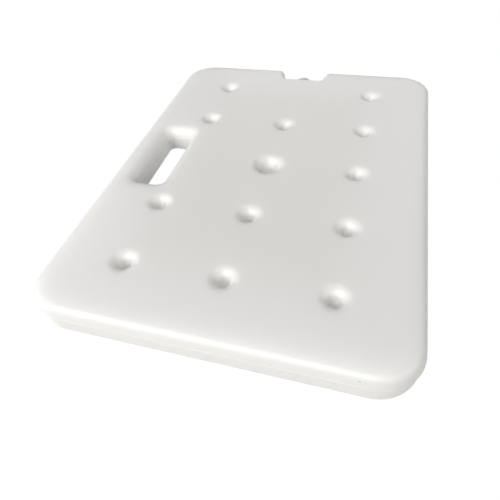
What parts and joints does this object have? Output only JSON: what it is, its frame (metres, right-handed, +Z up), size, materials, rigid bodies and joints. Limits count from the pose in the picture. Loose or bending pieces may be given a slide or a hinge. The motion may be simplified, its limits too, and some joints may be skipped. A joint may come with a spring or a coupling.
{
  "type": "reusable ice pack",
  "caption": "Flat rigid reusable ice pack, a sealed gel-filled cold plate with dimpled faces, a hand slot in one side and a recessed filler plug in one end.",
  "frame": {"origin": "middle of the underside", "axes": "+X across the plate, away from the hand slot; +Y along the plate, towards the filler; +Z up, out of the face nearer the parting line"},
  "size_m": [0.3, 0.4, 0.03],
  "materials": {
    "body_polyethylene": "satin, milky white",
    "plug_polyethylene": "satin, pale grey white"
  },
  "bodies": {
    "root": {"pack_body": "body_polyethylene", "filler_plug": "plug_polyethylene"}
  },
  "joints": []
}
